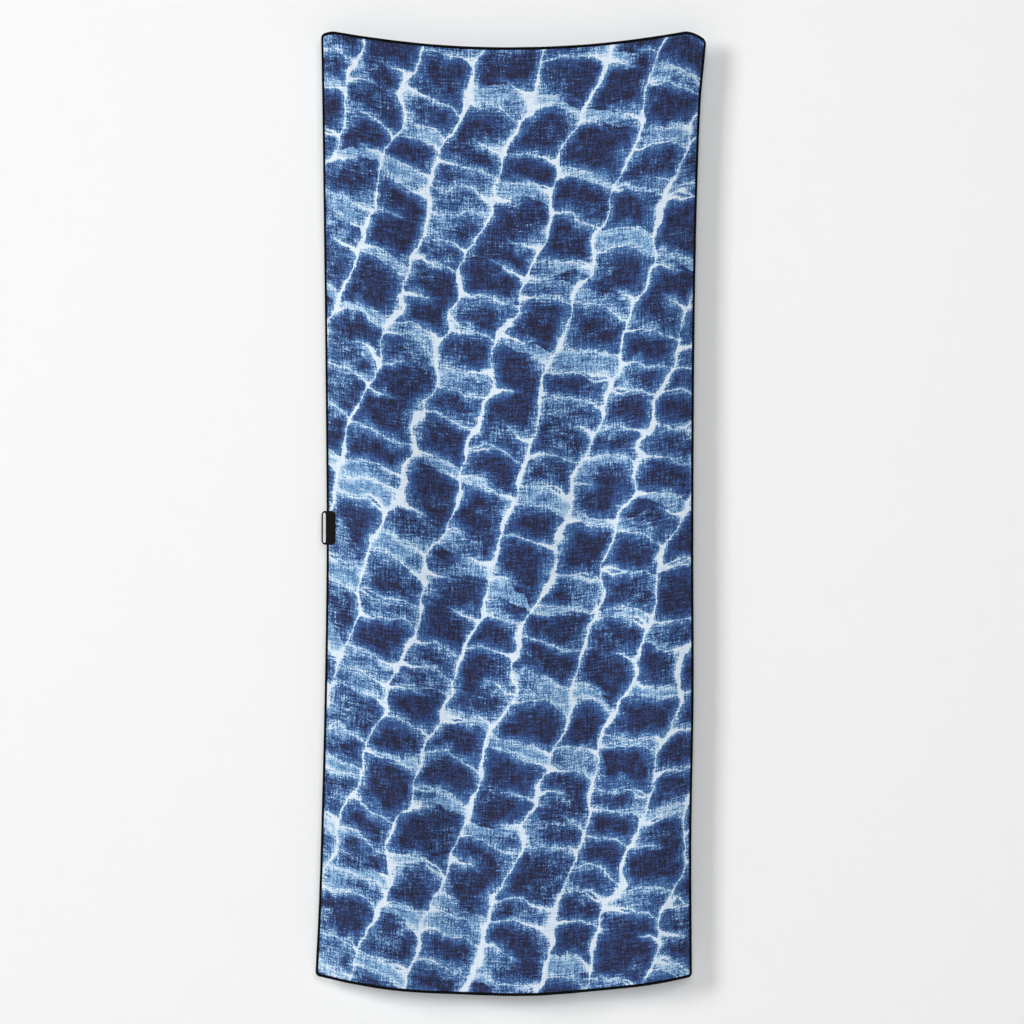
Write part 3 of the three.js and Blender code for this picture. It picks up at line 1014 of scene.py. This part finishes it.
def tab_plate(material):
    """Plate with a hook slot: between the slot's outline and the outer outline runs a closed
    section, with rounded rims on both faces, and the label field is sunk into its front."""
    spine, way, inner = stadium(*TAB_SLOT, STEPS_ROUND["plate"])
    outer = reach_to(TAB_OUTER, spine, way)
    thick = TAB_FACE - TAB_BACK
    bend = np.linspace(0, np.pi / 2, PLATE_RIM_LINES)
    both = np.concatenate([bend, bend[::-1]])
    front_lines = np.linspace(0, 1, PLATE_FRONT_LINES)
    back_lines = np.linspace(1, 0, PLATE_BACK_LINES)
    rim = np.sin(both) * PLATE_RIM
    drop = (1 - np.cos(bend)) * PLATE_RIM
    fall = np.concatenate([drop, thick - drop[::-1]])
    share = np.concatenate([front_lines, np.ones(len(rim)), back_lines, np.zeros(len(rim))])
    shift = np.concatenate([0 * front_lines, rim, 0 * back_lines, -rim])
    level = np.concatenate([0 * front_lines, fall, 0 * back_lines + thick, fall[::-1]])
    span = outer - inner - 2 * PLATE_RIM
    away = inner + PLATE_RIM + share[None, :] * span[:, None] + shift[None, :]
    x, y = out_from(spine, way, away)
    on_face = (level < 0.02)[None, :]
    sunk = FIELD_DEPTH * smooth(-field_distance(x, y) / FIELD_FALL)
    z = TAB_FACE - level[None, :] - np.where(on_face, sunk, 0)
    faces = grid_faces(*x.shape, True, True)
    return mesh_object("tab_plate", on_tab(x, y, z), faces, [material])


def tab_bead(material):
    """Raised bead round the label field: a low half-round profile carried along its outline."""
    spine, way, radius = stadium(*TAB_FIELD, STEPS_ROUND["bead"])
    ring = np.arange(BEAD_SIDES) / BEAD_SIDES * TURN
    away = radius + BEAD["off"] + BEAD["wide"] * np.cos(ring)[None, :]
    z = TAB_FACE - BEAD["under"] + BEAD["high"] * np.sin(ring)[None, :]
    x, y = out_from(spine, way, away)
    faces = grid_faces(*x.shape, True, True)[:, ::-1]
    return mesh_object("tab_bead", on_tab(x, y, z), faces, [material])


def tab_foot(material):
    """Pad behind the plate, down to the cloth: outlines that grow from the spine, then the rounded
    side, then back to the spine."""
    spine, way, radius = stadium(*TAB_FOOT, STEPS_ROUND["foot"])
    top = TAB_BACK - TAB_FOOT_BACK + FOOT_OVERLAP
    bend = np.linspace(0, np.pi / 2, FOOT_RIM_LINES)
    corner = radius - FOOT_RIM + FOOT_RIM * np.sin(bend)
    size = np.concatenate([[0, radius / 2], corner, [radius, radius / 2, 0]])
    level = np.concatenate([[0, 0], FOOT_RIM * (1 - np.cos(bend)), [top, top, top]])
    x, y = out_from(spine, way, size[None, :])
    z = TAB_FOOT_BACK + level[None, :]
    faces = grid_faces(*x.shape, True, False)
    return mesh_object("tab_foot", on_tab(x, y, z), faces, [material])


def tab_stitches(material):
    """Short stitches round the plate's margin: each is an oval drawn out along the outline,
    thinning and dipping at both ends."""
    spine, way, radius = stadium(*TAB_FIELD, STEPS_ROUND["stitches"])
    path = spine + way * (radius + STITCH["off"])
    gone = np.concatenate([[0], np.cumsum(np.linalg.norm(np.diff(path, axis=0), axis=1))])
    count = int(round(gone[-1] / STITCH["apart"]))
    share = np.linspace(-1, 1, STITCH_LINES)
    ring = np.arange(STITCH_SIDES) / STITCH_SIDES * TURN
    middle = (np.arange(count) + 0.5) * gone[-1] / count
    at = middle[:, None] + share[None, :] * STITCH["long"]
    centre, out = ([np.interp(at, gone, row)[..., None] for row in rows.T] for rows in (path, way))
    thin = np.sqrt(np.maximum(1 - share**2, 0.002))[None, :, None]
    wide = STITCH["wide"] * thin * np.cos(ring)
    x = centre[0] + out[0] * wide
    y = centre[1] + out[1] * wide
    dip = STITCH["dip"] * (share**2)[None, :, None]
    z = TAB_FACE + STITCH_LIFT + STITCH["high"] * thin * np.sin(ring) - dip
    one = grid_faces(STITCH_LINES, STITCH_SIDES, False, True)
    points_each = STITCH_LINES * STITCH_SIDES
    faces = np.concatenate([one + k * points_each for k in range(count)])[:, ::-1]
    return mesh_object("tab_stitches", on_tab(x, y, z), faces, [material])


# Stage and camera, in metres

# The two planes of the stage: the first corner of each, and the two sides that leave it.
FLOOR = ((-5, -9, -2.25), (10, 0, 0), (0, 12, 0))
BACKDROP = ((-5, 0.072, -2.25), (10, 0, 0), (0, 0, 4.75))
STAGE_PALE = 0.88

# Soft lights: place, target, size and power. The key comes at a slant from the upper left, and
# the fill from the front.
LIGHTS = {
    "key": ((-8.0, -8.6, 2.6), (2.2, -6.2, 0.5), (4.4, 4.4), 935),
    "fill": ((0.5, -9.0, 0.9), (0.5, 0, -0.5), (3.2, 3.4), 325),
}
FAINT_LIGHT = 0.08

# The view's width at the cloth and the height of its middle, and the camera's lens and sensor.
SEEN_WIDTH = 1.9856
SEEN_MIDDLE = -0.8997
LENS = 135
SENSOR = 36


def stage_plane(name, start, along, beside, material):
    """Rectangle of the stage: its first corner, and the two sides that leave it."""
    start, along, beside = np.array([start, along, beside], float)
    corners = np.array([start, start + along, start + along + beside, start + beside])
    mesh = bpy.data.meshes.new(name)
    mesh.from_pydata(corners.tolist(), [], [(0, 1, 2, 3)])
    mesh.materials.append(material)
    plane = bpy.data.objects.new(name, mesh)
    bpy.context.scene.collection.objects.link(plane)


def pale_paint(name, one_sided):
    """Matt pale paint. One-sided, it can be seen through from behind."""
    material, g, shader = new_material(name, Roughness=0.95, Specular_IOR_Level=0.0)
    shader.inputs["Base Color"].default_value = (STAGE_PALE, STAGE_PALE, STAGE_PALE, 1)
    if one_sided:
        clear = g.node("BsdfTransparent").outputs[0]
        behind = g.node("NewGeometry").outputs["Backfacing"]
        sides = [Field(g, socket) for socket in (behind, shader.outputs[0], clear)]
        output = material.node_tree.nodes["Material Output"]
        g.feed(output.inputs["Surface"], g.fed(g.node("MixShader"), sides))
    return material


def area_light(name, place, target, size, power):
    """Soft rectangular light at a place, turned to a target."""
    light = bpy.data.lights.new(name, "AREA")
    light.shape = "RECTANGLE"
    light.size, light.size_y = size
    light.energy = power
    lamp = bpy.data.objects.new(name, light)
    lamp.location = place
    lamp.rotation_euler = (Vector(target) - Vector(place)).to_track_quat("-Z", "Y").to_euler()
    bpy.context.scene.collection.objects.link(lamp)


def studio():
    """Pale floor and backdrop, the soft lights, and a faint even light all round."""
    stage_plane("floor", *FLOOR, pale_paint("floor_paint", False))
    stage_plane("backdrop", *BACKDROP, pale_paint("backdrop_paint", True))
    for name, settings in LIGHTS.items():
        area_light(name, *settings)
    world = bpy.data.worlds.new("studio")
    world.use_nodes = True
    background = world.node_tree.nodes["Background"]
    background.inputs["Color"].default_value = (1, 1, 1, 1)
    background.inputs["Strength"].default_value = FAINT_LIGHT
    bpy.context.scene.world = world
    bpy.context.scene.view_settings.view_transform = "Standard"


def camera():
    """Long lens, face on, as far off as shows the view's width at the cloth."""
    data = bpy.data.cameras.new("camera")
    data.sensor_width = SENSOR
    data.lens = LENS
    cam = bpy.data.objects.new("camera", data)
    cam.location = (0, -SEEN_WIDTH * LENS / SENSOR, SEEN_MIDDLE)
    cam.rotation_euler = (np.pi / 2, 0, 0)
    bpy.context.scene.collection.objects.link(cam)
    bpy.context.scene.camera = cam


def towel():
    """All pieces of the towel, each riding on the one body."""
    groups = {"print": print_group(), "suede": suede_group()}
    thread = black_thread()
    rubber = moulded_rubber()
    cloth = printed_cloth(printed_front(groups), pale_back(groups))
    sewn = [overlock_core(thread), overlock_thread(thread)]
    for piece in (tab_plate(rubber), tab_bead(rubber), tab_foot(rubber), tab_stitches(thread)):
        sewn.append(sewn_on(piece, "hang_tab"))


towel()
studio()
camera()
bpy.context.view_layer.update()
